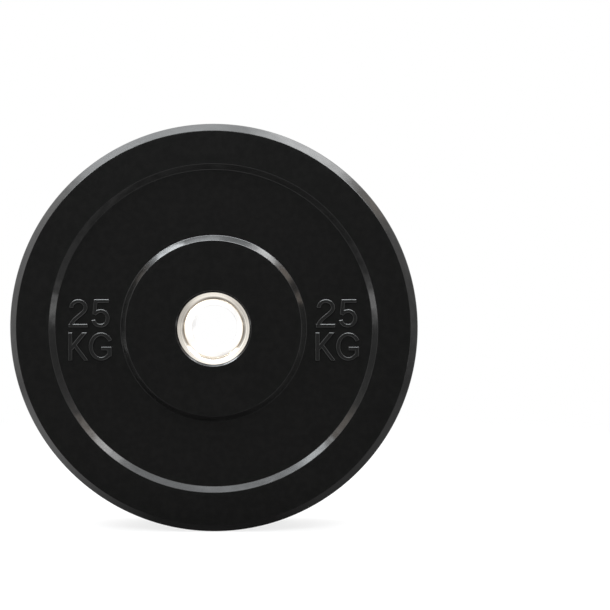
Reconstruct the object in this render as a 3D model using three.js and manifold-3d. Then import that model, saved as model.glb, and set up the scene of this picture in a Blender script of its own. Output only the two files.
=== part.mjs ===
// A 25 kg rubber bumper plate for a 50 mm barbell sleeve, standing on its rim.
// Sizes are in millimetres. The origin is the centre of the bore, Y runs along the bore,
// the front face looks towards -Y and Z is up.

import * as THREE from "three";
import { mergeVertices } from "three/addons/utils/BufferGeometryUtils.js";
import Module from "manifold-3d";

// The whole plate
const plateDiameter = 450;
const plateThickness = 95;

// Rubber disc. Both faces are alike: a bevelled rim, a flat band, a sunken web and a raised hub.
const rimBevelWidth = 8.5; // measured along the radius
const rimBevelDepth = 8; // measured along the bore
const rimBandWidth = 36;
const rimStepWidth = 6;
const webRecess = 5;
const hubDiameter = 193.5; // across the hub's flat top
const hubStepWidth = 5.5;
const rimEdgeRound = 3; // where the bevel meets the tread
const faceEdgeRound = 1.5; // where the bevel meets the face
const stepEdgeRound = 1.2; // on the four edges of the rim step and the hub step
const insertLipWidth = 2.4; // the rubber's sloping lip round the steel collar
const insertLipDepth = 2;

// Steel insert: a sleeve on the bar, a flared collar at each end and an anchor plate round it
const boreDiameter = 50.4;
const sleeveWall = 4.8;
const sleeveSeatRise = 1.2; // the shoulder turned on the sleeve to carry the anchor plate
const sleeveSeatWidth = 17;
const collarRecess = 1.5; // how far the collar's face lies under the hub's face
const collarSocketWall = 4.7; // round the end of the sleeve
const collarSocketDepth = 8;
const collarFlangeOverhang = 5;
const collarFlangeThickness = 7;
const collarEdgeRound = 1;
const mouthFlare = 7.1; // how much wider than the bore the mouth is, on the radius
const mouthDishDepth = 3.2; // the shallow dish from the collar's edge down to the mouth
const mouthEdgeRound = 2.2;
const leadInDepth = 22; // from the collar's face to the straight bore
const anchorDiameter = 150;
const anchorThickness = 5;
const anchorHoleCount = 8;
const anchorHoleDiameter = 18;
const anchorHoleMargin = 10; // the steel left between a hole and the anchor plate's rim

// Fits and fineness
const bondGap = 0.3; // left between two pieces that are bonded or pressed together
const cutOverrun = 5; // how far a cutting solid reaches past what it cuts
const discFacets = 96;
const steelFacets = 64;
const holeFacets = 24;
const roundSteps = 1; // straight pieces in the arc of a rounded edge

// Radii and places that follow from the sizes above
const discRadius = plateDiameter / 2;
const faceY = plateThickness / 2; // each flat face lies this far from the middle plane
const webY = faceY - webRecess;
const bandOuterRadius = discRadius - rimBevelWidth;
const bandInnerRadius = bandOuterRadius - rimBandWidth;
const webOuterRadius = bandInnerRadius - rimStepWidth;
const hubRadius = hubDiameter / 2;
const hubFootRadius = hubRadius + hubStepWidth;

const boreRadius = boreDiameter / 2;
const sleeveRadius = boreRadius + sleeveWall;
const seatRadius = sleeveRadius + sleeveSeatRise;
const seatY = sleeveSeatWidth / 2;
const socketRadius = sleeveRadius + bondGap;
const barrelRadius = socketRadius + collarSocketWall;
const flangeRadius = barrelRadius + collarFlangeOverhang;
const mouthRadius = boreRadius + mouthFlare;
const collarFaceY = faceY - collarRecess;
const flangeBackY = collarFaceY - collarFlangeThickness;
const shoulderY = collarFaceY - leadInDepth; // the floor of the socket that takes the sleeve
const collarBackY = shoulderY - collarSocketDepth;
const sleeveEndY = shoulderY - bondGap;

const anchorRadius = anchorDiameter / 2;
const anchorBoreRadius = seatRadius + bondGap;
const anchorY = anchorThickness / 2;
const anchorHoleRadius = anchorHoleDiameter / 2;
const anchorHoleRingRadius = anchorRadius - anchorHoleMargin - anchorHoleRadius;

const wasm = await Module();
wasm.setup();

// A corner of an outline: its radius from the bore's axis, its height along the axis and the
// radius of its rounding, which is none for a sharp corner.
function corner(radius, height, round = 0) {
  return { place: new THREE.Vector2(radius, height), round };
}

// Replaces each rounded corner of a closed outline by the arc that touches both of its sides.
function roundedOutline(corners) {
  const points = [];
  corners.forEach(({ place, round }, index) => {
    if (round === 0) {
      points.push(place);
      return;
    }
    const before = corners.at(index - 1).place;
    const after = corners[(index + 1) % corners.length].place;
    const toBefore = before.clone().sub(place).normalize();
    const toAfter = after.clone().sub(place).normalize();
    const halfAngle = Math.acos(THREE.MathUtils.clamp(toBefore.dot(toAfter), -1, 1)) / 2;
    const centre = toBefore
      .clone()
      .add(toAfter)
      .normalize()
      .multiplyScalar(round / Math.sin(halfAngle))
      .add(place);
    const reach = round / Math.tan(halfAngle);
    const first = toBefore.clone().multiplyScalar(reach).add(place).sub(centre);
    const last = toAfter.clone().multiplyScalar(reach).add(place).sub(centre);
    let turn = last.angle() - first.angle();
    if (turn > Math.PI) turn -= 2 * Math.PI;
    if (turn < -Math.PI) turn += 2 * Math.PI;
    for (let step = 0; step <= roundSteps; step++) {
      const angle = (turn * step) / roundSteps;
      points.push(first.clone().rotateAround(new THREE.Vector2(), angle).add(centre));
    }
  });
  return points;
}

// An outline runs up its outer side, so that the turned surface faces out. The mirror image on
// the other side of the middle plane is listed backwards to keep that direction.
function mirrored(corners) {
  return corners
    .map(({ place, round }) => corner(place.x, -place.y, round))
    .reverse();
}

function bothSides(rearHalf) {
  return [...rearHalf, ...mirrored(rearHalf)];
}

function flatRing(innerRadius, outerRadius, halfWidth) {
  return bothSides([corner(outerRadius, halfWidth), corner(innerRadius, halfWidth)]);
}

// Turns a closed outline round the bore's axis. The flat of each facet, not its edges, lies on
// the true circle, and one facet is centred below the axis, so that the plate stands on a flat.
function revolve(corners, facets) {
  const outsideShare = 1 / Math.cos(Math.PI / facets);
  const points = roundedOutline(corners);
  points.push(points[0]);
  points.forEach((point, index) => {
    points[index] = new THREE.Vector2(point.x * outsideShare, point.y);
  });
  return new THREE.LatheGeometry(points, facets, Math.PI / facets);
}

function solidFrom(geometry) {
  const bare = new THREE.BufferGeometry();
  bare.setAttribute("position", geometry.getAttribute("position"));
  bare.setIndex(geometry.getIndex());
  const merged = mergeVertices(bare);
  return new wasm.Manifold(
    new wasm.Mesh({
      numProp: 3,
      vertProperties: new Float32Array(merged.getAttribute("position").array),
      triVerts: new Uint32Array(merged.getIndex().array),
    }),
  );
}

function geometryFrom(solid) {
  const { vertProperties, triVerts } = solid.getMesh();
  const geometry = new THREE.BufferGeometry();
  geometry.setAttribute("position", new THREE.BufferAttribute(vertProperties, 3));
  geometry.setIndex(new THREE.BufferAttribute(triVerts, 1));
  const flatShaded = geometry.toNonIndexed();
  flatShaded.computeVertexNormals();
  return flatShaded;
}

// One round bar through each hole of the anchor plate, reaching past a cut of that half width.
function barsThroughAnchorHoles(radius, halfWidth) {
  const length = 2 * (halfWidth + cutOverrun);
  const bars = [];
  for (let hole = 0; hole < anchorHoleCount; hole++) {
    const angle = ((hole + 0.5) * 2 * Math.PI) / anchorHoleCount;
    const bar = new THREE.CylinderGeometry(radius, radius, length, holeFacets);
    bar.translate(
      anchorHoleRingRadius * Math.sin(angle),
      0,
      anchorHoleRingRadius * Math.cos(angle),
    );
    bars.push(solidFrom(bar));
  }
  return bars;
}

// The rubber fills everything round the insert, the holes of the anchor plate included, so its
// two halves are held together by a rubber key through each hole.
function rubberDisc() {
  const outline = bothSides([
    corner(discRadius, faceY - rimBevelDepth, rimEdgeRound),
    corner(bandOuterRadius, faceY, faceEdgeRound),
    corner(bandInnerRadius, faceY, stepEdgeRound),
    corner(webOuterRadius, webY, stepEdgeRound),
    corner(hubFootRadius, webY, stepEdgeRound),
    corner(hubRadius, faceY, stepEdgeRound),
    corner(flangeRadius + bondGap + insertLipWidth, faceY, stepEdgeRound),
    corner(flangeRadius + bondGap, faceY - insertLipDepth),
    corner(flangeRadius + bondGap, flangeBackY - bondGap),
    corner(barrelRadius + bondGap, flangeBackY - bondGap),
    corner(barrelRadius + bondGap, collarBackY - bondGap),
    corner(socketRadius, collarBackY - bondGap),
  ]);
  const slotHalfWidth = anchorY + bondGap;
  const seatHalfWidth = seatY + bondGap;
  const cutterInnerRadius = socketRadius - cutOverrun;
  const slot = flatRing(cutterInnerRadius, anchorRadius + bondGap, slotHalfWidth);
  const seatRoom = flatRing(cutterInnerRadius, seatRadius + bondGap, seatHalfWidth);
  let anchorRoom = solidFrom(revolve(slot, discFacets));
  for (const key of barsThroughAnchorHoles(anchorHoleRadius - bondGap, slotHalfWidth)) {
    anchorRoom = anchorRoom.subtract(key);
  }
  const disc = solidFrom(revolve(outline, discFacets))
    .subtract(solidFrom(revolve(seatRoom, discFacets)))
    .subtract(anchorRoom);
  return geometryFrom(disc);
}

// A collar is listed from the sleeve's socket outwards: the barrel, the flange that shows, the
// shallow dish in its face and the long lead-in that guides the end of the bar into the bore.
function collar(side) {
  const outline = [
    corner(socketRadius, shoulderY),
    corner(socketRadius, collarBackY),
    corner(barrelRadius, collarBackY),
    corner(barrelRadius, flangeBackY),
    corner(flangeRadius, flangeBackY),
    corner(flangeRadius, collarFaceY, collarEdgeRound),
    corner(mouthRadius, collarFaceY - mouthDishDepth, mouthEdgeRound),
    corner(boreRadius, shoulderY),
  ];
  return revolve(side > 0 ? outline : mirrored(outline), steelFacets);
}

function boreSleeve() {
  const outline = bothSides([
    corner(seatRadius, seatY),
    corner(sleeveRadius, seatY),
    corner(sleeveRadius, sleeveEndY),
    corner(boreRadius, sleeveEndY),
  ]);
  return revolve(outline, steelFacets);
}

function anchorPlate() {
  const blank = flatRing(anchorBoreRadius, anchorRadius, anchorY);
  let plate = solidFrom(revolve(blank, discFacets));
  for (const drill of barsThroughAnchorHoles(anchorHoleRadius, anchorY)) {
    plate = plate.subtract(drill);
  }
  return geometryFrom(plate);
}

const blackRubber = new THREE.MeshStandardMaterial({
  color: 0x1b1b1a,
  roughness: 0.55,
  metalness: 0,
});
const polishedSteel = new THREE.MeshStandardMaterial({
  color: 0xd8d2c8,
  roughness: 0.22,
  metalness: 1,
});
const plainSteel = new THREE.MeshStandardMaterial({
  color: 0x8c8c8a,
  roughness: 0.5,
  metalness: 1,
});

function named(name, geometry, material) {
  const mesh = new THREE.Mesh(geometry, material);
  mesh.name = name;
  return mesh;
}

const plate = new THREE.Group();
plate.name = "bumper_plate";

const insert = new THREE.Group();
insert.name = "steel_insert";
insert.add(
  named("front_collar", collar(-1), polishedSteel),
  named("rear_collar", collar(1), polishedSteel),
  named("bore_sleeve", boreSleeve(), polishedSteel),
  named("anchor_plate", anchorPlate(), plainSteel),
);

plate.add(named("rubber_disc", rubberDisc(), blackRubber), insert);

export default plate;
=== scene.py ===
# The finished surfaces of a 25 kg rubber bumper plate with a flared steel insert.
# The plate stands on its rim, its bore runs along Y and its front face looks towards -Y.
import math

import bmesh
import bpy
from bpy.props import FloatProperty, FloatVectorProperty, IntProperty, PointerProperty
from mathutils import Matrix, Vector
from mathutils.geometry import delaunay_2d_cdt, interpolate_bezier


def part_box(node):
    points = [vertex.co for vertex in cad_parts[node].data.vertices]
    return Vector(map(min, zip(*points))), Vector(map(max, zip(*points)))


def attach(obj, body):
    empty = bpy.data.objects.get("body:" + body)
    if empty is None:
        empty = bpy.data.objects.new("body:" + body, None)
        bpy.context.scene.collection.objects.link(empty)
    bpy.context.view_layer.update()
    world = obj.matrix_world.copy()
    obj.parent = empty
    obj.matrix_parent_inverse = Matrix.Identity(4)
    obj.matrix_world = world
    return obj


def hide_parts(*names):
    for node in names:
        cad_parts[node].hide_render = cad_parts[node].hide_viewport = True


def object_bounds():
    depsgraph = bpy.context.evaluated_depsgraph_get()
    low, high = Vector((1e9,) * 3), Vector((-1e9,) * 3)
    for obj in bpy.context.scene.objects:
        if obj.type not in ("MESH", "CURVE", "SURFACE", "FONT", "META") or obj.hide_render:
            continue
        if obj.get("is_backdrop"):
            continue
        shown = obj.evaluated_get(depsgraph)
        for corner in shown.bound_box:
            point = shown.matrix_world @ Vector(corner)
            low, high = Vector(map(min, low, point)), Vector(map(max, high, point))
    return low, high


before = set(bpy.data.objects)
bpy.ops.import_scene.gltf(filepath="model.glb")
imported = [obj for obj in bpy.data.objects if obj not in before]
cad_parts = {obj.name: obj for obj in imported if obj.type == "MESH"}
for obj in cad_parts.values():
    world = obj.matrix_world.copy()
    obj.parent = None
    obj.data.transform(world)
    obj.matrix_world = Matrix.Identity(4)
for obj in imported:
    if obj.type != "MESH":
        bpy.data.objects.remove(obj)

bl_info = {
    "name": "Bumper Plate",
    "version": (1, 0, 0),
    "blender": (4, 5, 0),
    "location": "View3D > Sidebar > Bumper Plate",
    "description": "Builds the moulded rubber, weight marks and steel insert of a bumper plate",
    "category": "Add Mesh",
}

CAD_LOW, CAD_HIGH = (Vector(corner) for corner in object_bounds())

# The frame's own sizes, in metres, which the finished pieces follow
DISC_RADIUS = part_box("rubber_disc")[1][2]
FACE_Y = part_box("rubber_disc")[1][1]
FLANGE_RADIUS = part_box("rear_collar")[1][2]
COLLAR_BACK_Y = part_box("rear_collar")[0][1]
COLLAR_FACE_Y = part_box("rear_collar")[1][1]
SEAT_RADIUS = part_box("bore_sleeve")[1][2]
SLEEVE_END_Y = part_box("bore_sleeve")[1][1]
ANCHOR_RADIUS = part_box("anchor_plate")[1][2]
ANCHOR_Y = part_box("anchor_plate")[1][1]

MILLIMETRE = 0.001
CUT_OVERRUN = 5 * MILLIMETRE
SHARP_ANGLE = math.radians(15)
FLAT_SHARE = 0.985  # of a face's direction that has to lie along the bore
ARC_STEPS = 8  # facets of a rounding of a millimetre or more
HOLE_SEGMENTS = 48
SAME_PLACE = 1e-6  # points closer together than this count as one


def number(name, text, value, **more):
    """A property that holds a number from 0 up."""
    return FloatProperty(name=name, description=text, default=value, min=0.0, **more)


def length(name, text, millimetres):
    """A property that holds a length, written here in millimetres."""
    return number(name, text, millimetres * MILLIMETRE, unit="LENGTH")


def pixels(name, text, value):
    """A property that holds a distance in the picture."""
    return number(name, text, value, subtype="PIXEL")


def share(name, text, value):
    """A property that holds a share of a whole."""
    return number(name, text, value, subtype="FACTOR", max=1.0)


def times(name, text, value):
    """A property that says how many times as much."""
    return number(name, text, value, max=10.0)


def tilt(name, text, degrees):
    """A property that holds an angle, written here in degrees."""
    return FloatProperty(
        name=name, description=text, default=math.radians(degrees), subtype="ANGLE"
    )


def colour(name, text, red, green, blue):
    """A property that holds a linear colour."""
    return FloatVectorProperty(
        name=name, description=text, default=(red, green, blue), subtype="COLOR", min=0.0, max=1.0
    )


def whole_number(name, text, value, least=1):
    """A property that holds a whole number."""
    return IntProperty(name=name, description=text, default=value, min=least)


class RubberDiscSizes(bpy.types.PropertyGroup):
    """Outline of the moulded rubber disc, the same on both faces."""

    segments: whole_number("Segments", "Straight sides of the turned disc", 288, least=32)
    bevel_width: length("Rim bevel width", "Along the radius", 8.5)
    bevel_depth: length("Rim bevel depth", "Along the bore", 8.0)
    band_width: length("Rim band width", "Flat band inside the bevel", 36.0)
    rim_step_width: length("Rim step width", "Slope from the band down to the web", 6.0)
    web_recess: length("Web recess", "How far the web lies under the face", 5.0)
    hub_diameter: length("Hub diameter", "Across the hub's flat top", 193.5)
    hub_step_width: length("Hub step width", "Slope from the hub down to the web", 5.5)
    rim_round: length("Rim rounding", "Where the bevel meets the tread", 3.0)
    face_round: length("Face rounding", "Where the bevel meets the face", 0.6)
    step_round: length("Step rounding", "On the edges of both steps", 0.6)
    lip_width: length("Lip width", "Sloping rubber lip round the steel", 1.4)
    lip_depth: length("Lip depth", "How deep the lip slopes", 1.25)
    lip_round: length("Lip rounding", "Where the lip meets the hub's face", 0.4)
    bond_gap: length("Bond gap", "Between the rubber and the steel", 0.3)
    parting_width: length("Parting line width", "Raised line round the tread", 1.6)
    parting_rise: length("Parting line rise", "How far it stands out of the tread", 0.2)


class SteelInsertSizes(bpy.types.PropertyGroup):
    """Outline of the collars and of the sleeve between them."""

    segments: whole_number("Segments", "Straight sides of the turned steel", 192, least=32)
    bore_diameter: length("Bore diameter", "For a 50 mm bar sleeve", 50.4)
    sleeve_wall: length("Sleeve wall", "Thickness of the sleeve", 4.8)
    seat_width: length("Seat width", "Shoulder that carries the anchor plate", 17.0)
    socket_wall: length("Socket wall", "Of the collar round the sleeve's end", 4.7)
    lead_in: length("Lead-in depth", "From the collar's face to the straight bore", 22.0)
    flange_thickness: length("Flange thickness", "Of the collar's visible ring", 7.0)
    flange_round: length("Flange rounding", "On the collar's outer edge", 0.3)
    mouth_flare: length("Mouth flare", "How much wider than the bore the mouth is", 7.1)
    mouth_depth: length("Mouth depth", "Of the shallow dish down to the mouth", 3.2)
    mouth_round: length("Mouth rounding", "Where the dish turns into the lead-in", 1.2)
    dish_crown: length("Dish crown", "How far the dish stands above a straight cone", 0.62)
    dish_round: length("Dish rounding", "Of the crowned dish", 12.0)
    anchor_holes: whole_number("Anchor holes", "Holes that key the rubber", 8, least=3)
    anchor_hole_diameter: length("Anchor hole diameter", "Of each keyed hole", 18.0)
    anchor_hole_margin: length("Anchor hole margin", "Steel left outside each hole", 10.0)


class WeightMarkSizes(bpy.types.PropertyGroup):
    """The raised weight marks on both sides of the web."""

    cap_height: length("Cap height", "Height of a figure", 31.3)
    stem_width: length("Stem width", "Of upright strokes", 4.9)
    bar_width: length("Bar width", "Of level strokes", 4.2)
    line_gap: length("Line gap", "Between the number and its unit", 5.2)
    rise: length("Rise", "How far a mark stands out of the web", 1.4)
    edge: length("Edge", "Width of the sloping edge", 0.82)
    steepness: times("Steepness", "Height of the sloping edge in times its width", 0.95)
    root: length("Root", "How far a mark reaches into the web", 0.3)
    reach: length("Reach", "From the bore's axis to the middle of a mark", 136.0)
    drop: length("Drop", "How far the marks sit under the axis", 1.7)


class PlateFinish(bpy.types.PropertyGroup):
    """Colours and gloss of the finished surfaces."""

    rubber: colour("Rubber", "Dense black rubber", 0.0043, 0.0043, 0.0041)
    rubber_worn: colour("Rubber bloom", "Slightly greyer patches", 0.0062, 0.0061, 0.0058)
    grained_roughness: share("Grained roughness", "Of the fine-grained faces and tread", 0.44)
    grained_gloss: share("Grained gloss", "Specular level of the grained faces", 0.068)
    mark_gloss: share("Mark gloss", "Specular level of the weight marks' tops", 0.2)
    smooth_roughness: share("Smooth roughness", "Of the bevels, steps and rounded edges", 0.19)
    smooth_gloss: share("Smooth gloss", "Specular level of the smooth edges", 0.6)
    steel: colour("Steel", "Bright turned steel", 0.93, 0.875, 0.79)
    # Painted brightness: whiter than steel can be, so that the lead-in and the bore give back the
    # background white and untinted
    lead_in_painted_white: colour("Lead-in steel", "Steel polished by the bar", 1.0, 0.99, 0.975)
    # Partly tarnish, partly painted shade: a darker line in the corner where the dish turns into
    # the lead-in
    mouth_tarnish_and_shade: colour("Mouth steel", "Warmer line just outside the mouth", 0.60, 0.52, 0.42)
    steel_roughness: share("Steel roughness", "Of the turned collars", 0.16)
    bore_roughness: share("Bore roughness", "Of the sleeve's bore", 0.24)
    plain_steel: colour("Plain steel", "Hidden anchor plate", 0.42, 0.42, 0.41)
    plain_roughness: share("Plain steel roughness", "Of the anchor plate", 0.5)


class StudioSettings(bpy.types.PropertyGroup):
    """Camera, floor, surroundings and lamps."""

    yaw: tilt("Yaw", "Camera to the right of the bore's axis", 4)
    pitch: tilt("Pitch", "Camera above the bore's axis", 2.5)
    distance: length("Distance", "From the camera to the plate's face", 1560.0)
    frame_pixels: whole_number("Frame", "Side of the square picture in pixels", 610)
    focal_pixels: pixels("Focal length", "In picture pixels", 1420.0)
    plate_column: pixels("Plate column", "Pixel column of the bore's axis", 213.2)
    plate_row: pixels("Plate row", "Pixel row of the bore's axis", 328.4)
    floor_level: share("Floor level", "Whiteness that the floor keeps in shadow", 0.8)
    floor_bounce: share("Floor bounce", "Share of its light that the floor sends back", 0.15)
    # Painted shade of the floor close to the plate, seen only in the plate's gloss
    painted_contact_shade: share("Contact level", "Floor close to the plate, as its gloss shows it", 0.10)
    near_level: share("Near level", "Floor in front of the plate, as its gloss shows it", 0.98)
    top_level: times("Top level", "How much brighter the room is above", 1.8)


def settings(name):
    """The scene's own sizes and colours of one group."""
    return getattr(bpy.context.scene, "plate_" + name)


# Outlines and turned meshes


def rounded_outline(corners):
    """Replaces each corner (radius, height, rounding) by the arc that touches both its sides.

    A rounding under a millimetre is one flat facet.
    """
    points = []
    for index, (radius, height, rounding) in enumerate(corners):
        place = Vector((radius, height))
        if rounding == 0:
            points.append(place)
            continue
        before = Vector(corners[index - 1][:2])
        after = Vector(corners[(index + 1) % len(corners)][:2])
        to_before = (before - place).normalized()
        to_after = (after - place).normalized()
        half = to_before.angle(to_after) / 2
        centre = place + (to_before + to_after).normalized() * (rounding / math.sin(half))
        first = place + to_before * (rounding / math.tan(half)) - centre
        last = place + to_after * (rounding / math.tan(half)) - centre
        arc_steps = ARC_STEPS if rounding >= MILLIMETRE else 1
        turn = math.atan2(first.x * last.y - first.y * last.x, first.dot(last))
        for step in range(arc_steps + 1):
            angle = turn * step / arc_steps
            points.append(centre + Matrix.Rotation(angle, 2) @ first)
    return points


def mirrored(corners):
    """The same corners on the other side of the middle plane, listed the other way round."""
    return [(radius, -height, rounding) for radius, height, rounding in reversed(corners)]


def both_sides(rear_half):
    """A closed outline from its rear half and the same half in front."""
    return rear_half + mirrored(rear_half)


def turned_object(name, corners, segments):
    """An object turned from a closed outline round the bore's axis."""
    outline = rounded_outline(corners)
    count = len(outline)
    vertices = []
    for segment in range(segments):
        angle = 2 * math.pi * (segment + 0.5) / segments
        for point in outline:
            vertices.append((point.x * math.sin(angle), point.y, point.x * math.cos(angle)))
    faces = []
    for segment in range(segments):
        here = segment * count
        there = (segment + 1) % segments * count
        for index in range(count):
            following = (index + 1) % count
            faces.append((here + index, there + index, there + following, here + following))
    mesh = bpy.data.meshes.new(name)
    mesh.from_pydata(vertices, [], faces)
    finish_mesh(mesh)
    return add_object(name, mesh)


def finish_mesh(mesh):
    """Turns the faces outwards and shades all but the sharp edges smooth."""
    work = bmesh.new()
    work.from_mesh(mesh)
    bmesh.ops.recalc_face_normals(work, faces=work.faces)
    work.to_mesh(mesh)
    work.free()
    mesh.polygons.foreach_set("use_smooth", [True] * len(mesh.polygons))
    mesh.set_sharp_from_angle(angle=SHARP_ANGLE)
    mesh.update()


def add_object(name, data):
    made = bpy.data.objects.new(name, data)
    bpy.context.scene.collection.objects.link(made)
    return made


def final_mesh(made):
    """A new mesh of an object in the shape that its modifiers or its curve give it."""
    shown = made.evaluated_get(bpy.context.evaluated_depsgraph_get())
    return bpy.data.meshes.new_from_object(shown)


def cut(made, *cutters):
    """Takes the cutters' room out of an object for good and deletes them."""
    for cutter in cutters:
        modifier = made.modifiers.new("cut", "BOOLEAN")
        modifier.operation = "DIFFERENCE"
        modifier.solver = "EXACT"
        modifier.object = cutter
    mesh = final_mesh(made)
    made.modifiers.clear()
    made.data = mesh
    for cutter in cutters:
        bpy.data.objects.remove(cutter)


def even_normals(made):
    """Keeps flat faces flat in the shading where they meet a rounding."""
    modifier = made.modifiers.new("even normals", "WEIGHTED_NORMAL")
    modifier.mode = "FACE_AREA"
    modifier.weight = 100  # the most, so that the largest faces decide
    modifier.keep_sharp = True


def finished_piece(made, slot, materials, *replaced):
    """Gives a piece its shading, its materials and its place in the frame."""
    even_normals(made)
    # Clearing the slots sets every face back to the first material
    indices = [face.material_index for face in made.data.polygons]
    made.data.materials.clear()
    for material in materials:
        made.data.materials.append(material)
    made.data.polygons.foreach_set("material_index", indices)
    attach(made, "root")
    if replaced:
        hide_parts(*replaced)


# Shader nodes, node groups and materials


class Nodes:
    """Short calls for adding and linking the nodes of one tree."""

    def __init__(self, tree):
        self.tree = tree

    def add(self, kind, **values):
        """Adds a node and feeds its sockets."""
        node = self.tree.nodes.new(kind)
        self.feed_named(node, **values)
        return node

    def feed(self, socket, value):
        """Links another node's output to a socket, or sets its value."""
        if isinstance(value, bpy.types.NodeSocket):
            self.tree.links.new(value, socket)
        else:
            socket.default_value = value

    def feed_named(self, node, **values):
        """Feeds sockets by their names, which are in small letters here."""
        for name, value in values.items():
            self.feed(node.inputs[name.replace("_", " ").title()], value)

    def math(self, operation, *values):
        node = self.add("ShaderNodeMath")
        node.operation = operation
        for socket, value in zip(node.inputs, values):
            self.feed(socket, value)
        return node.outputs[0]

    def between(self, value, low, high, to_low=0.0, to_high=1.0):
        """Maps a value smoothly from one range to another."""
        node = self.add("ShaderNodeMapRange")
        node.interpolation_type = "SMOOTHSTEP"
        self.feed_named(node, value=value, from_min=low, from_max=high)
        self.feed_named(node, to_min=to_low, to_max=to_high)
        return node.outputs["Result"]

    def noise(self, vector, scale, detail=2.0, roughness=0.5):
        node = self.add(
            "ShaderNodeTexNoise", vector=vector, scale=scale, detail=detail, roughness=roughness
        )
        return node.outputs["Fac"]

    def mix(self, factor, first, second):
        """Mixes two colours."""
        node = self.add("ShaderNodeMix")
        node.data_type = "RGBA"
        self.feed_named(node, factor=factor, a=first, b=second)
        return node.outputs["Result"]

    def place(self):
        """A point's place in the frame."""
        return self.add("ShaderNodeTexCoord").outputs["Object"]

    def split(self, vector):
        """The X, Y and Z of a vector."""
        node = self.add("ShaderNodeSeparateXYZ")
        self.feed(node.inputs[0], vector)
        return node.outputs

    def size(self, vector):
        """The length of a vector."""
        node = self.add("ShaderNodeVectorMath")
        node.operation = "LENGTH"
        self.feed(node.inputs[0], vector)
        return node.outputs["Value"]

    def rays(self):
        """The kinds of ray, and 1 for those that carry what the camera itself sees."""
        kinds = self.add("ShaderNodeLightPath").outputs
        seen = self.math("MAXIMUM", kinds["Is Camera Ray"], kinds["Is Transmission Ray"])
        return kinds, seen

    def group(self, build, **values):
        """Places the node group that a function builds, with values of its own.

        The group has the function's name and is built only once.
        """
        node = self.add("ShaderNodeGroup")
        node.node_tree = bpy.data.node_groups.get(build.__name__) or build(build.__name__)
        self.feed_named(node, **values)
        return node.outputs

    def end(self, kind, shader):
        """Puts a shader on the tree's output."""
        self.feed(self.add(kind).inputs["Surface"], shader.outputs[0])


def empty_tree(owner):
    """Clears the nodes of a material, a world or a lamp."""
    owner.use_nodes = True
    owner.node_tree.nodes.clear()
    return Nodes(owner.node_tree)


def new_group(name, inputs, outputs):
    """A shader node group with named float sockets, what it is given and its output node."""
    tree = bpy.data.node_groups.new(name, "ShaderNodeTree")
    for socket, default in inputs.items():
        made = tree.interface.new_socket(socket, in_out="INPUT", socket_type="NodeSocketFloat")
        made.default_value = default
    for socket in outputs:
        tree.interface.new_socket(socket, in_out="OUTPUT", socket_type="NodeSocketFloat")
    nodes = Nodes(tree)
    given = nodes.add("NodeGroupInput").outputs
    result = nodes.add("NodeGroupOutput")
    return tree, nodes, given, result


def place_round_bore(name):
    """Distance from the bore's axis, place along it and turn round it."""
    tree, nodes, _, result = new_group(name, {}, ("Radius", "Along", "Turn"))
    x, y, z = nodes.split(nodes.place())
    squares = nodes.math("ADD", nodes.math("MULTIPLY", x, x), nodes.math("MULTIPLY", z, z))
    radius = nodes.math("SQRT", squares)
    nodes.feed_named(result, radius=radius, along=y, turn=nodes.math("ARCTAN2", x, z))
    return tree


# What the moulded grain is made of
COARSE_SCALE = 0.25  # of the fine grain's scale
COARSE_DEPTH = 0.5  # of the fine grain's depth
FLECK_SCALE = 0.6  # of the fine grain's scale
BLOTCH_RANGE = (0.35, 0.7)  # of a noise, from no blotch to a full one
FLECK_RANGE = (0.45, 0.75)  # of a noise, from no fleck to a full one
FLECK_POLISH = 0.04  # roughness that a full fleck takes off


def moulded_grain(name):
    """Fine grain, slow waves and blotches of a moulded surface. Its depths are in millimetres."""
    inputs = {
        "Grain Depth": 0.02, "Wave Depth": 0.05,
        "Grain Scale": 900.0, "Wave Scale": 60.0, "Blotch Scale": 160.0,
    }
    tree, nodes, given, result = new_group(name, inputs, ("Height", "Blotch", "Fleck"))
    place = nodes.place()
    fine = nodes.noise(place, given["Grain Scale"], detail=3.0, roughness=0.6)
    coarse_scale = nodes.math("MULTIPLY", given["Grain Scale"], COARSE_SCALE)
    grain = nodes.math("MULTIPLY_ADD", nodes.noise(place, coarse_scale), COARSE_DEPTH, fine)
    grain = nodes.math("MULTIPLY", grain, given["Grain Depth"])
    wave = nodes.noise(place, given["Wave Scale"], detail=1.0)
    blotch = nodes.noise(place, given["Blotch Scale"], detail=4.0, roughness=0.6)
    fleck_scale = nodes.math("MULTIPLY", given["Grain Scale"], FLECK_SCALE)
    fleck = nodes.noise(place, fleck_scale, detail=1.0)
    nodes.feed_named(
        result,
        height=nodes.math("MULTIPLY_ADD", wave, given["Wave Depth"], grain),
        blotch=nodes.between(blotch, *BLOTCH_RANGE),
        fleck=nodes.between(fleck, *FLECK_RANGE),
    )
    return tree


# What the turning marks are made of
TURNING_DEPTH = 0.02 * MILLIMETRE
STREAK_RANGE = (0.3, 0.7)  # of a noise, from no streak to a full one
STREAK_POLISH = 0.05  # roughness that a full streak takes off


def turning_marks(name):
    """Fine rings that a cutting tool leaves as it runs round the bore."""
    inputs = {"Ring Scale": 3000.0, "Streak Scale": 700.0, "Turn Scale": 0.35}
    tree, nodes, given, result = new_group(name, inputs, ("Height", "Streak"))
    bore = nodes.group(place_round_bore)
    turn = nodes.math("MULTIPLY", bore["Turn"], given["Turn Scale"])
    rings = nodes.add("ShaderNodeCombineXYZ", x=bore["Radius"], y=bore["Along"], z=turn).outputs[0]
    height = nodes.noise(rings, given["Ring Scale"], detail=3.0, roughness=0.65)
    streak = nodes.noise(rings, given["Streak Scale"])
    nodes.feed_named(result, height=height, streak=nodes.between(streak, *STREAK_RANGE))
    return tree


def empty_material(name):
    """A material of that name with no nodes, in the place of any older one."""
    if name in bpy.data.materials:
        bpy.data.materials.remove(bpy.data.materials[name])
    material = bpy.data.materials.new(name)
    return material, empty_tree(material)


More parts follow.
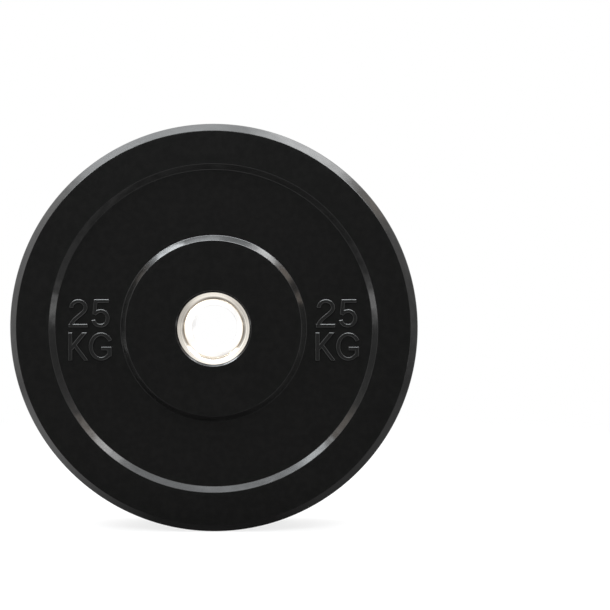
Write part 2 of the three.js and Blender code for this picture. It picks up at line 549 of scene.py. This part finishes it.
def new_material(name):
    """A material with nothing but its Principled shader on the output."""
    material, nodes = empty_material(name)
    shader = nodes.add("ShaderNodeBsdfPrincipled")
    nodes.end("ShaderNodeOutputMaterial", shader)
    return material, nodes, shader


def opaque(rgb):
    return (*rgb, 1.0)


def bumped(nodes, height, strength, distance):
    """The normal of a surface that a height raises by up to a distance."""
    bump = nodes.add("ShaderNodeBump", strength=strength, distance=distance, height=height)
    return bump.outputs["Normal"]


def rubber_material(name, roughness, gloss, grain_depth, wave_depth):
    """Dense black rubber with a greyish bloom. Its grain and waves are in millimetres."""
    finish = settings("finish")
    material, nodes, shader = new_material(name)
    grain = nodes.group(moulded_grain, grain_depth=grain_depth, wave_depth=wave_depth)
    nodes.feed(shader.inputs["Specular IOR Level"], gloss)
    nodes.feed_named(
        shader,
        base_color=nodes.mix(grain["Blotch"], opaque(finish.rubber), opaque(finish.rubber_worn)),
        roughness=nodes.math("MULTIPLY_ADD", grain["Fleck"], -FLECK_POLISH, roughness),
        normal=bumped(nodes, grain["Height"], strength=1.0, distance=MILLIMETRE),
    )
    return material


def rubber_pair():
    """The grained rubber of flat faces and the smooth rubber of bevels, steps and edges."""
    finish = settings("finish")
    grained = rubber_material(
        "grained_rubber", finish.grained_roughness, finish.grained_gloss,
        grain_depth=0.02, wave_depth=0.05,
    )
    smooth = rubber_material(
        "smooth_rubber", finish.smooth_roughness, finish.smooth_gloss,
        grain_depth=0.0015, wave_depth=0.35,
    )
    return grained, smooth


def split_rubber(made):
    """Gives a piece's flat faces and tread the grained rubber, and its slopes the smooth one."""
    for face in made.data.polygons:
        on_tread = math.hypot(face.center.x, face.center.z) > DISC_RADIUS - MILLIMETRE
        along_bore = abs(face.normal.y)
        flat = along_bore > FLAT_SHARE or (on_tread and along_bore < 1 - FLAT_SHARE)
        face.material_index = 0 if flat else 1


def steel_material(name, rgb, roughness, mark_strength):
    """Turned steel with fine rings round the bore."""
    material, nodes, shader = new_material(name)
    marks = nodes.group(turning_marks)
    nodes.feed_named(
        shader,
        base_color=opaque(rgb),
        metallic=1.0,
        roughness=nodes.math("MULTIPLY_ADD", marks["Streak"], -STREAK_POLISH, roughness),
        normal=bumped(nodes, marks["Height"], strength=mark_strength, distance=TURNING_DEPTH),
    )
    return material, nodes, shader


# Round the collar's mouth, in metres from its edge, outwards
# The lead-in's steel is painted brighter than steel can be
LEAD_IN_END = (-1.4 * MILLIMETRE, -0.6 * MILLIMETRE)  # where the lead-in's steel gives way
# The warmer line is partly tarnish and partly painted shade in that corner
MOUTH_LINE = 0.6 * MILLIMETRE  # the middle of the warmer line

# How far from its middle the line of tarnish and painted shade starts to fade and is gone
MOUTH_LINE_FADE = (0.3 * MILLIMETRE, 1.6 * MILLIMETRE)


def collar_material():
    """Turned steel with a warmer line round the mouth, partly tarnish and partly painted shade,
    and a lead-in painted brighter than steel.
    """
    insert = settings("insert")
    finish = settings("finish")
    material, nodes, shader = steel_material(
        "polished_steel", finish.steel, finish.steel_roughness, mark_strength=0.12
    )
    mouth = insert.bore_diameter / 2 + insert.mouth_flare
    radius = nodes.group(place_round_bore)["Radius"]
    outside = nodes.between(radius, mouth + LEAD_IN_END[0], mouth + LEAD_IN_END[1])
    aside = nodes.math("ABSOLUTE", nodes.math("SUBTRACT", radius, mouth + MOUTH_LINE))
    beyond = nodes.between(aside, *MOUTH_LINE_FADE)
    # A line of tarnish and painted shade round the mouth
    dish = nodes.mix(beyond, opaque(finish.mouth_tarnish_and_shade), opaque(finish.steel))
    # The lead-in takes the steel that is painted brighter
    shown = nodes.mix(outside, opaque(finish.lead_in_painted_white), dish)
    nodes.feed_named(shader, base_color=shown)
    return material


# Strokes of the weight marks, in shares of the cap height


class Pen:
    """Draws strokes as flat polygons with a pen that is wider across than up."""

    def __init__(self, stem, bar):
        self.half_stem = stem / 2
        self.half_bar = bar / 2
        self.polygons = []

    def ribbon(self, points):
        """A stroke along a line of points, cut square at both ends."""
        left, right = [], []
        for index, point in enumerate(points):
            before = points[max(index - 1, 0)]
            after = points[min(index + 1, len(points) - 1)]
            along = (Vector(after) - Vector(before)).normalized()
            aside = Vector((-along.y * self.half_stem, along.x * self.half_bar))
            left.append(Vector(point) + aside)
            right.append(Vector(point) - aside)
        self.polygons.append(right + left[::-1])

    def slant(self, low, high, width):
        """A slanting stroke whose ends are cut level."""
        across = Vector((width / 2, 0))
        low, high = Vector(low), Vector(high)
        self.polygons.append([low - across, low + across, high + across, high - across])


def arc_points(centre, radii, start, end, steps=24):
    """Points on an ellipse, from one angle to another in degrees."""
    points = []
    for step in range(steps + 1):
        angle = math.radians(start + (end - start) * step / steps)
        across = centre[0] + radii[0] * math.cos(angle)
        up = centre[1] + radii[1] * math.sin(angle)
        points.append((across, up))
    return points


def curve_points(start, start_handle, end_handle, end, steps=16):
    """Points on a curve that leaves its ends towards their handles."""
    flat = [Vector((*point, 0)) for point in (start, start_handle, end_handle, end)]
    return [point.xy for point in interpolate_bezier(*flat, steps + 1)]


def draw_two(pen):
    foot = pen.half_bar
    waist = 0.700
    bowl = arc_points((0.352, waist), (0.250, 1 - foot - waist), 182, 0)
    tail = curve_points((0.602, waist), (0.602, 0.500), (0.150, 0.350), (0.080, foot))
    pen.ribbon(bowl + tail[1:])
    pen.ribbon([(0.0, foot), (0.684, foot)])


def draw_five(pen):
    foot = pen.half_bar
    waist = 0.326
    shoulder = 0.583
    pen.ribbon([(0.086, 1 - foot), (0.622, 1 - foot)])
    pen.slant((0.102, 0.455), (0.160, 1.0), 0.148)
    hook = curve_points((0.094, 0.452), (0.150, 0.530), (0.230, shoulder), (0.336, shoulder))
    bowl = arc_points((0.336, waist), (0.236, shoulder - waist), 90, -90)
    tail = curve_points((0.336, foot), (0.190, foot), (0.090, 0.140), (0.072, 0.276))
    pen.ribbon(hook + bowl[1:-1] + tail)


def draw_k(pen):
    stem = pen.half_stem
    pen.ribbon([(stem, 0.0), (stem, 1.0)])
    pen.slant((0.066, 0.374), (0.584, 1.0), 0.200)
    pen.slant((0.640, 0.0), (0.223, 0.560), 0.176)


def draw_g(pen):
    middle = 0.440
    shelf = 0.430
    side = 0.817
    spur = side - pen.half_stem
    bowl = (middle - pen.half_stem, 0.5 - pen.half_bar)
    pen.ribbon(arc_points((middle, 0.5), bowl, 27, 320, steps=40))
    pen.ribbon([(spur, 0.150), (spur, shelf)])
    pen.ribbon([(middle, shelf), (side, shelf)])


def outline_loops(polygons):
    """The closed outlines round a set of polygons that overlap."""
    points, rings = [], []
    for polygon in polygons:
        rings.append(list(range(len(points), len(points) + len(polygon))))
        points += polygon
    vertices, _, faces, _, _, sources = delaunay_2d_cdt(points, [], rings, 1, SAME_PLACE)
    onward = {}
    inner = set()
    for face, source in zip(faces, sources):
        if source:
            inner.update((face[i - 1], face[i]) for i in range(len(face)))
    for first, second in inner:
        if (second, first) not in inner:
            onward[first] = second
    loops = []
    while onward:
        start, here = onward.popitem()
        loop = [start]
        while here != start:
            loop.append(here)
            here = onward.pop(here)
        loops.append([vertices[index] for index in loop])
    return loops


def without_tiny_steps(loop, least):
    """Drops points that lie closer together than a rounded edge can follow."""
    kept = [loop[0]]
    for point in loop[1:]:
        if (point - kept[-1]).length > least:
            kept.append(point)
    return kept


BLOCK_WIDTH = 1.542  # of both lines of a mark, in shares of the cap height
LEAST_STEP = 0.006  # between two points of an outline, in shares of the cap height


def mark_outlines(sizes):
    """The outlines of the number and its unit, in metres, round the middle of the block."""
    height = sizes.cap_height
    upper_line = 1.0 + sizes.line_gap / height
    figures = (
        (draw_two, 0.020, upper_line),
        (draw_five, 0.826, upper_line),
        (draw_k, 0.0, 0.0),
        (draw_g, 0.724, 0.0),
    )
    middle = Vector((BLOCK_WIDTH / 2, (1.0 + upper_line) / 2))
    loops = []
    for draw, across, up in figures:
        pen = Pen(sizes.stem_width / height, sizes.bar_width / height)
        draw(pen)
        for loop in outline_loops(pen.polygons):
            loop = without_tiny_steps(loop, LEAST_STEP)
            loops.append([(point + Vector((across, up)) - middle) * height for point in loop])
    return loops


def mark_mesh(name, sizes):
    """Raised figures with rounded edges, lying in the XY plane and rising along Z."""
    curve = bpy.data.curves.new(name, "CURVE")
    curve.dimensions = "2D"
    curve.fill_mode = "BOTH"
    curve.extrude = sizes.rise / sizes.steepness - sizes.edge
    curve.bevel_depth = sizes.edge
    curve.bevel_resolution = 1
    curve.offset = -sizes.edge
    for loop in mark_outlines(sizes):
        spline = curve.splines.new("POLY")
        spline.points.add(len(loop) - 1)
        for point, place in zip(spline.points, loop):
            point.co = (*place, 0, 1)
        spline.use_cyclic_u = True
    drawn = add_object(name, curve)
    mesh = final_mesh(drawn)
    bpy.data.objects.remove(drawn)
    mesh.transform(Matrix.Scale(sizes.steepness, 4, (0, 0, 1)))
    work = bmesh.new()
    work.from_mesh(mesh)
    bmesh.ops.remove_doubles(work, verts=work.verts, dist=SAME_PLACE)
    everything = work.verts[:] + work.edges[:] + work.faces[:]
    below = bmesh.ops.bisect_plane(
        work, geom=everything, plane_co=(0, 0, -sizes.root), plane_no=(0, 0, 1), clear_inner=True
    )
    rim = [item for item in below["geom_cut"] if isinstance(item, bmesh.types.BMEdge)]
    bmesh.ops.triangle_fill(work, use_beauty=True, use_dissolve=False, edges=rim)
    work.to_mesh(mesh)
    work.free()
    return mesh


# The studio's light

# Brightness of the room in times white, from behind the camera (-1) to behind the plate (1)
ROOM_LEVELS = (
    (-1.0, 0.02), (-0.97, 0.02), (-0.92, 0.80), (-0.88, 0.85), (-0.83, 0.60), (-0.77, 0.56),
    (-0.75, 0.70), (-0.73, 0.95), (-0.705, 1.0), (-0.66, 0.85), (-0.60, 0.48), (-0.50, 0.28),
    (-0.30, 0.25), (-0.10, 0.12), (0.0, 0.55), (0.15, 0.90), (0.40, 1.0), (0.70, 1.15),
)

# The room's brightness on the left and on the right, in times the levels above
SIDE_LEVELS = (1.15, 0.88)
ROOM_SIDES = 0.6  # sideways part of a direction at which those two are reached
UPWARD_FADE = (0.0, 0.7)  # upward part of a direction, over which the room grows brighter

# Where the floor changes, in metres. Each pair is where a change starts and where it is over.
FLOOR_HALF = 20.0
SHADOW_FADE = (0.5, 1.2)  # from the plate's middle, until the shadow is gone

# The same, for the floor as only the plate's gloss shows it, with painted shade close to and
# beside the plate and a painted light foot under its left
NEAR_FADE = (0.5, 1.0)  # from the plate's middle, until only the room's light is left
NEAR_SIDES = 0.4  # sideways, where the near floor has its side levels
BESIDE_DIP = (0.06, 0.24)  # sideways, where it turns darker
BESIDE_RISE = (0.5, 1.2)  # sideways, where it is light again
UNDER_AHEAD = (0.12, 0.25)  # towards the camera, where the light foot on the left ends
UNDER_ACROSS = (-0.1, 0.1)  # from left to right, where that foot ends
# The dark contact is painted shade
CONTACT_AHEAD = (0.05, 0.09)  # towards the camera, where the dark contact grows wide
CONTACT_HALF = 0.45  # half the width that it grows to
CONTACT_FADE = 0.35  # sideways, how far it fades out
CONTACT_END = (0.15, 0.25)  # towards the camera, where it ends
CONTACT_REAR = (-0.02, 0.02)  # along the bore, where it ends

# Shares of the floor's brightness
BESIDE_LEVEL = 0.75  # that the room's light keeps sideways
NEAR_BESIDE_LEVEL = 0.55  # that the near floor keeps sideways
SHADE_SHARE = 0.9  # that the lamps make up where the floor's own glow is lower

# The most that a lamp fades out over at the ends of its height, in metres
END_FADE = 0.1

COOL = (0.93, 0.97, 1.0)
PLAIN = (1.0, 1.0, 1.0)
WARM = (1.0, 0.86, 0.74)
DOWN = (0.0, 0.0, -1.0)
LEFTWARD = (-1.0, 0.0, 0.0)
RIGHTWARD = (1.0, 0.0, 0.0)

# Each lamp: its name, its place in metres, where it shines, its width and height in metres, the
# metres over which it fades out at its sides, its brightness in times white, and its tint
LAMPS = (
    ("overhead_box", (-0.15, -0.17, 1.26), DOWN, 2.9, 1.26, 0.6, 2.35, COOL),
    ("middle_box", (-0.21, -0.25, 1.25), DOWN, 0.62, 0.6, 0.15, 2.6, COOL),
    ("right_overhead_box", (0.68, 0.13, 1.25), DOWN, 1.25, 0.5, 0.4, 4.3, PLAIN),
    ("right_hub_box", (0.84, -0.26, 1.25), DOWN, 0.9, 0.36, 0.4, 11.0, PLAIN),
    ("left_hub_box", (-0.88, -0.21, 1.25), DOWN, 1.3, 0.36, 0.55, 16.5, COOL),
    ("right_front_box", (1.08, -0.75, 1.25), DOWN, 0.7, 0.4, 0.32, 9.5, PLAIN),
    ("left_front_box", (-1.25, -0.62, 1.25), DOWN, 0.7, 0.4, 0.32, 9.5, COOL),
    ("front_strip_box", (0.0, -1.38, 1.25), DOWN, 4.0, 0.56, 1.0, 11.0, COOL),
    ("right_warm_box", (1.6, -0.55, 1.24), DOWN, 1.2, 1.2, 0.5, 1.7, WARM),
    ("right_far_box", (3.7, -0.46, 1.24), DOWN, 1.3, 0.36, 0.4, 3.2, WARM),
    ("left_warm_box", (-2.0, -0.5, 1.24), DOWN, 1.2, 1.1, 0.3, 1.2, WARM),
    ("right_low_box", (0.8, -0.39, -0.17), LEFTWARD, 0.42, 0.2, 0.09, 2.9, PLAIN),
    ("left_low_box", (-0.8, -0.22, -0.17), RIGHTWARD, 0.48, 0.2, 0.09, 3.1, PLAIN),
)


def soft_box(name, place, facing, width, height, fade, level, tint):
    """A soft lamp whose surface is that many times as bright as white."""
    lamp = bpy.data.lights.new(name, "AREA")
    lamp.shape = "RECTANGLE"
    lamp.size = width
    lamp.size_y = height
    lamp.energy = level * math.pi * width * height
    lamp.color = tint
    nodes = empty_tree(lamp)
    x, y, _ = nodes.split(nodes.add("ShaderNodeNewGeometry").outputs["Parametric"])
    fades = []
    for across, size, span in ((x, width, fade), (y, height, min(fade, END_FADE))):
        inward = nodes.math("MINIMUM", across, nodes.math("SUBTRACT", 1.0, across))
        fades.append(nodes.between(inward, 0.0, span / size))
    glow = nodes.add("ShaderNodeEmission", strength=nodes.math("MULTIPLY", *fades))
    nodes.end("ShaderNodeOutputLight", glow)
    made = add_object(name, lamp)
    made.location = place
    made.rotation_euler = Vector(facing).to_track_quat("-Z", "Y").to_euler()
    made.visible_camera = False


def side_level(nodes, across, reach):
    """The side levels, from the left one to the right one."""
    return nodes.between(across, -reach, reach, *SIDE_LEVELS)


def room_brightness(name):
    """Brightness of the room round the plate, from behind the camera to behind the plate."""
    tree, nodes, given, result = new_group(name, {"Across": 0.0, "Along": 0.0}, ("Level",))
    ramp = nodes.add("ShaderNodeValToRGB")
    stops = ramp.color_ramp.elements
    while len(stops) < len(ROOM_LEVELS):
        stops.new(1.0)
    for stop, (along, level) in zip(stops, ROOM_LEVELS):
        stop.position = (along + 1) / 2
        stop.color = opaque((level, level, level))
    nodes.feed(ramp.inputs[0], nodes.math("MULTIPLY_ADD", given["Along"], 0.5, 0.5))
    side = side_level(nodes, given["Across"], ROOM_SIDES)
    nodes.feed_named(result, level=nodes.math("MULTIPLY", ramp.outputs["Color"], side))
    return tree


# Operators, one for each group of like pieces


class PLATE_OT_rubber_disc(bpy.types.Operator):
    """Turn the moulded rubber disc, with the room that the steel insert takes in it"""

    bl_idname = "bumper_plate.rubber_disc"
    bl_label = "Rubber Disc"

    def execute(self, context):
        sizes = settings("disc")
        steel = settings("insert")
        segments = sizes.segments
        gap = sizes.bond_gap
        web_y = FACE_Y - sizes.web_recess
        band_outer = DISC_RADIUS - sizes.bevel_width
        band_inner = band_outer - sizes.band_width
        web_outer = band_inner - sizes.rim_step_width
        hub_radius = sizes.hub_diameter / 2
        hub_foot = hub_radius + sizes.hub_step_width
        socket_radius = steel.bore_diameter / 2 + steel.sleeve_wall + gap
        barrel_radius = socket_radius + steel.socket_wall
        flange_back = COLLAR_FACE_Y - steel.flange_thickness
        tread = DISC_RADIUS - sizes.parting_rise
        half_line = sizes.parting_width / 2
        outline = both_sides([
            (DISC_RADIUS, half_line / 2, 0),
            (tread, half_line, 0),
            (tread, FACE_Y - sizes.bevel_depth, sizes.rim_round),
            (band_outer, FACE_Y, sizes.face_round),
            (band_inner, FACE_Y, sizes.step_round),
            (web_outer, web_y, sizes.step_round),
            (hub_foot, web_y, sizes.step_round),
            (hub_radius, FACE_Y, sizes.step_round),
            (FLANGE_RADIUS + gap + sizes.lip_width, FACE_Y, sizes.lip_round),
            (FLANGE_RADIUS + gap, FACE_Y - sizes.lip_depth, 0),
            (FLANGE_RADIUS + gap, flange_back - gap, 0),
            (barrel_radius + gap, flange_back - gap, 0),
            (barrel_radius + gap, COLLAR_BACK_Y - gap, 0),
            (socket_radius, COLLAR_BACK_Y - gap, 0),
        ])
        disc = turned_object("moulded_rubber_disc", outline, segments)
        rooms = []
        for name, radius, half_width in (
            ("seat_room", SEAT_RADIUS, steel.seat_width / 2),
            ("anchor_room", ANCHOR_RADIUS, ANCHOR_Y),
        ):
            room = both_sides([
                (radius + gap, half_width + gap, 0),
                (socket_radius - CUT_OVERRUN, half_width + gap, 0),
            ])
            rooms.append(turned_object(name, room, segments))
        cut(rooms[-1], self.keys(steel, gap))
        cut(disc, *rooms)
        finish_mesh(disc.data)
        split_rubber(disc)
        finished_piece(disc, "black_rubber", rubber_pair(), "rubber_disc")
        return {"FINISHED"}

    def keys(self, steel, gap):
        """The rubber keys that fill the anchor plate's holes, as one cutter."""
        work = bmesh.new()
        hole_radius = steel.anchor_hole_diameter / 2
        ring_radius = ANCHOR_RADIUS - steel.anchor_hole_margin - hole_radius
        for hole in range(steel.anchor_holes):
            angle = (hole + 0.5) * 2 * math.pi / steel.anchor_holes
            place = Vector((ring_radius * math.sin(angle), 0, ring_radius * math.cos(angle)))
            bmesh.ops.create_cone(
                work, cap_ends=True, segments=HOLE_SEGMENTS, radius1=hole_radius - gap,
                radius2=hole_radius - gap, depth=2 * (ANCHOR_Y + gap + CUT_OVERRUN),
                matrix=Matrix.Translation(place) @ Matrix.Rotation(math.pi / 2, 4, "X"),
            )
        mesh = bpy.data.meshes.new("keys")
        work.to_mesh(mesh)
        work.free()
        return add_object("keys", mesh)


class PLATE_OT_weight_marks(bpy.types.Operator):
    """Raise the weight marks left and right of the hub on both faces"""

    bl_idname = "bumper_plate.weight_marks"
    bl_label = "Weight Marks"

    def execute(self, context):
        sizes = settings("marks")
        finish = settings("finish")
        web_y = FACE_Y - settings("disc").web_recess
        tops = rubber_material(
            "mark_rubber", finish.grained_roughness, finish.mark_gloss,
            grain_depth=0.02, wave_depth=0.02,
        )
        rubbers = tops, bpy.data.materials["smooth_rubber"]
        upright = Matrix.Rotation(math.pi / 2, 4, "X")
        for face, turn in (("front", 0.0), ("rear", math.pi)):
            for side, across in (("left", -sizes.reach), ("right", sizes.reach)):
                name = face + "_" + side + "_weight_mark"
                mesh = mark_mesh(name, sizes)
                place = Matrix.Translation((across, -web_y, -sizes.drop))
                mesh.transform(Matrix.Rotation(turn, 4, "Z") @ place @ upright)
                finish_mesh(mesh)
                mark = add_object(name, mesh)
                split_rubber(mark)
                finished_piece(mark, "black_rubber", rubbers)
        return {"FINISHED"}


class PLATE_OT_steel_insert(bpy.types.Operator):
    """Turn the two flared collars and the sleeve between them"""

    bl_idname = "bumper_plate.steel_insert"
    bl_label = "Steel Insert"

    def execute(self, context):
        sizes = settings("insert")
        finish = settings("finish")
        gap = settings("disc").bond_gap
        bore = sizes.bore_diameter / 2
        sleeve = bore + sizes.sleeve_wall
        socket = sleeve + gap
        barrel = socket + sizes.socket_wall
        flange_back = COLLAR_FACE_Y - sizes.flange_thickness
        shoulder = COLLAR_FACE_Y - sizes.lead_in
        mouth = bore + sizes.mouth_flare
        rear = [
            (socket, shoulder, 0),
            (socket, COLLAR_BACK_Y, 0),
            (barrel, COLLAR_BACK_Y, 0),
            (barrel, flange_back, 0),
            (FLANGE_RADIUS, flange_back, 0),
            (FLANGE_RADIUS, COLLAR_FACE_Y, sizes.flange_round),
            (
                (FLANGE_RADIUS + mouth) / 2,
                COLLAR_FACE_Y - sizes.mouth_depth / 2 + sizes.dish_crown,
                sizes.dish_round,
            ),
            (mouth, COLLAR_FACE_Y - sizes.mouth_depth, sizes.mouth_round),
            (bore, shoulder, 0),
        ]
        collar_steel = collar_material()
        for name, outline, node in (
            ("rear_steel_collar", rear, "rear_collar"),
            ("front_steel_collar", mirrored(rear), "front_collar"),
        ):
            collar = turned_object(name, outline, sizes.segments)
            finished_piece(collar, "polished_steel", [collar_steel], node)
        tube_outline = both_sides([
            (SEAT_RADIUS, sizes.seat_width / 2, 0),
            (sleeve, sizes.seat_width / 2, 0),
            (sleeve, SLEEVE_END_Y, 0),
            (bore, SLEEVE_END_Y, 0),
        ])
        tube = turned_object("steel_bore_sleeve", tube_outline, sizes.segments)
        # The bore takes the same steel, painted brighter than steel can be
        bore_steel, _, _ = steel_material(
            "bore_steel", finish.lead_in_painted_white, finish.bore_roughness, mark_strength=0.1
        )
        finished_piece(tube, "bore_steel", [bore_steel], "bore_sleeve")
        return {"FINISHED"}


class PLATE_OT_anchor_plate(bpy.types.Operator):
    """Give the hidden anchor plate its plain steel"""

    bl_idname = "bumper_plate.anchor_plate"
    bl_label = "Anchor Plate"

    def execute(self, context):
        finish = settings("finish")
        steel, _, _ = steel_material(
            "plain_steel", finish.plain_steel, finish.plain_roughness, mark_strength=0.05
        )
        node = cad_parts["anchor_plate"]
        node.data.materials.clear()
        node.data.materials.append(steel)
        return {"FINISHED"}


class PLATE_OT_studio(bpy.types.Operator):
    """Set up the camera, the pale floor, the surroundings and the lamps"""

    bl_idname = "bumper_plate.studio"
    bl_label = "Studio"

    def execute(self, context):
        studio = settings("studio")
        context.scene.view_settings.view_transform = "Standard"
        self.camera(context, studio)
        self.floor(studio)
        self.surroundings(context, studio)
        for lamp in LAMPS:
            soft_box(*lamp)
        return {"FINISHED"}

    def camera(self, context, studio):
        """Stands where the photograph was taken, with the plate left of the picture's middle."""
        level = Vector((-math.sin(studio.yaw), math.cos(studio.yaw), 0))
        sight = level * math.cos(studio.pitch) - Vector((0, 0, math.sin(studio.pitch)))
        right = Vector((math.cos(studio.yaw), math.sin(studio.yaw), 0))
        up = right.cross(sight)
        middle = studio.frame_pixels / 2
        aside = (middle - studio.plate_column) / studio.focal_pixels
        above = (studio.plate_row - middle) / studio.focal_pixels
        forward = sight + right * aside + up * above
        lens = bpy.data.cameras.new("camera")
        lens.lens = lens.sensor_width * studio.focal_pixels / studio.frame_pixels
        camera = add_object("camera", lens)
        camera.location = Vector((0, -FACE_Y, 0)) - sight * studio.distance
        camera.rotation_euler = forward.to_track_quat("-Z", "Y").to_euler()
        context.scene.camera = camera

    def floor(self, studio):
        """A wide white floor that keeps a pale shadow under the plate, and shows the plate's gloss
        a painted shade close to it.
        """
        corners = [
            (x * FLOOR_HALF, y * FLOOR_HALF, CAD_LOW.z)
            for x, y in ((-1, -1), (1, -1), (1, 1), (-1, 1))
        ]
        mesh = bpy.data.meshes.new("floor")
        mesh.from_pydata(corners, [], [(0, 1, 2, 3)])
        material, nodes = empty_material("white_floor")
        rays, seen = nodes.rays()
        place = nodes.place()
        distance = nodes.size(place)
        glow = nodes.between(distance, *SHADOW_FADE, studio.floor_level, 1.0)
        # Glossy rays see the floor with its painted shade and painted light, camera rays see it
        # white with the lamps' own shadow
        strength = nodes.math(
            "MULTIPLY_ADD", self.painted_floor_reflection(nodes, place, distance, studio),
            rays["Is Glossy Ray"], nodes.math("MULTIPLY", glow, seen),
        )
        white = nodes.add("ShaderNodeEmission", strength=strength)
        shade = nodes.math("MULTIPLY", nodes.math("SUBTRACT", 1.0, glow), seen)
        bounce = nodes.math("MULTIPLY", rays["Is Diffuse Ray"], studio.floor_bounce)
        level = nodes.math("MULTIPLY_ADD", shade, SHADE_SHARE, bounce)
        grey = nodes.add("ShaderNodeCombineColor", red=level, green=level, blue=level)
        matt = nodes.add("ShaderNodeBsdfDiffuse", color=grey.outputs[0])
        both = nodes.add("ShaderNodeAddShader")
        nodes.feed(both.inputs[0], white.outputs[0])
        nodes.feed(both.inputs[1], matt.outputs[0])
        nodes.end("ShaderNodeOutputMaterial", both)
        floor = add_object("floor", mesh)
        floor.data.materials.append(material)
        floor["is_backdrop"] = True

    def painted_floor_reflection(self, nodes, place, distance, studio):
        """Brightness of the floor as the plate's gloss shows it, with painted shade close to and
        beside the plate and a painted light foot under its left.
        """
        x, y, _ = nodes.split(place)
        aside = nodes.math("ABSOLUTE", x)
        ahead = nodes.math("MULTIPLY", y, -1.0)
        across = nodes.math("DIVIDE", x, distance)
        along = nodes.math("DIVIDE", y, distance)
        room = nodes.group(room_brightness, across=across, along=along)["Level"]
        beside = nodes.math(
            "MAXIMUM", nodes.between(aside, *BESIDE_DIP, 1.0, BESIDE_LEVEL),
            nodes.between(aside, *BESIDE_RISE, BESIDE_LEVEL, 1.0),
        )
        room = nodes.math("MULTIPLY", room, beside)
        near = nodes.between(distance, *NEAR_FADE, studio.near_level, 0.0)
        near = nodes.math("MULTIPLY", near, side_level(nodes, x, NEAR_SIDES))
        # A painted light foot under the plate's left
        under = nodes.math(
            "MULTIPLY", nodes.between(ahead, *UNDER_AHEAD, 1.0, 0.0),
            nodes.between(x, *UNDER_ACROSS, 1.0, 0.0),
        )
        dimmed = nodes.between(aside, *BESIDE_DIP, 1.0, NEAR_BESIDE_LEVEL)
        near = nodes.math("MULTIPLY", near, nodes.math("MAXIMUM", under, dimmed))
        # Painted contact shade close in front of the plate, fading out sideways and further ahead
        half = nodes.between(ahead, *CONTACT_AHEAD, 0.0, CONTACT_HALF)
        clear = nodes.between(nodes.math("SUBTRACT", aside, half), 0.0, CONTACT_FADE)
        for other in (
            nodes.between(ahead, *CONTACT_END),
            nodes.between(y, *CONTACT_REAR),
            studio.painted_contact_shade,
        ):
            clear = nodes.math("MAXIMUM", clear, other)
        return nodes.math("MULTIPLY", clear, nodes.math("MAXIMUM", room, near))

    def surroundings(self, context, studio):
        """White to the camera, and to the object a pale room that is dark behind the camera."""
        world = bpy.data.worlds.new("studio")
        nodes = empty_tree(world)
        _, seen = nodes.rays()
        x, y, z = nodes.split(nodes.add("ShaderNodeTexCoord").outputs["Generated"])
        room = nodes.group(room_brightness, across=x, along=y)["Level"]
        upward = nodes.between(z, *UPWARD_FADE, 1.0, studio.top_level)
        level = nodes.math("MULTIPLY", room, upward)
        difference = nodes.math("SUBTRACT", 1.0, level)
        strength = nodes.math("MULTIPLY_ADD", seen, difference, level)
        background = nodes.add("ShaderNodeBackground", color=opaque(PLAIN), strength=strength)
        nodes.end("ShaderNodeOutputWorld", background)
        context.scene.world = world


class PLATE_PT_panel(bpy.types.Panel):
    """Lists the sizes and the builders of the plate"""

    bl_idname = "PLATE_PT_panel"
    bl_label = "Bumper Plate"
    bl_space_type = "VIEW_3D"
    bl_region_type = "UI"
    bl_category = "Bumper Plate"

    def draw(self, context):
        for operator, group in STEPS:
            box = self.layout.box()
            box.operator(operator.bl_idname)
            if group:
                self.list_settings(box, group)
        box = self.layout.box()
        box.label(text="Finish")
        self.list_settings(box, "finish")

    def list_settings(self, box, group):
        held = settings(group)
        for name in held.__annotations__:
            box.prop(held, name)


GROUPS = {
    "disc": RubberDiscSizes,
    "insert": SteelInsertSizes,
    "marks": WeightMarkSizes,
    "finish": PlateFinish,
    "studio": StudioSettings,
}
STEPS = (
    (PLATE_OT_rubber_disc, "disc"),
    (PLATE_OT_weight_marks, "marks"),
    (PLATE_OT_steel_insert, "insert"),
    (PLATE_OT_anchor_plate, None),
    (PLATE_OT_studio, "studio"),
)
CLASSES = (*GROUPS.values(), *(operator for operator, _ in STEPS), PLATE_PT_panel)


def register():
    for item in CLASSES:
        bpy.utils.register_class(item)
    for name, group in GROUPS.items():
        setattr(bpy.types.Scene, "plate_" + name, PointerProperty(type=group))


def unregister():
    for name in GROUPS:
        delattr(bpy.types.Scene, "plate_" + name)
    for item in reversed(CLASSES):
        bpy.utils.unregister_class(item)


def main():
    register()
    for operator, _ in STEPS:
        family, name = operator.bl_idname.split(".")
        getattr(getattr(bpy.ops, family), name)()


if __name__ == "__main__":
    main()
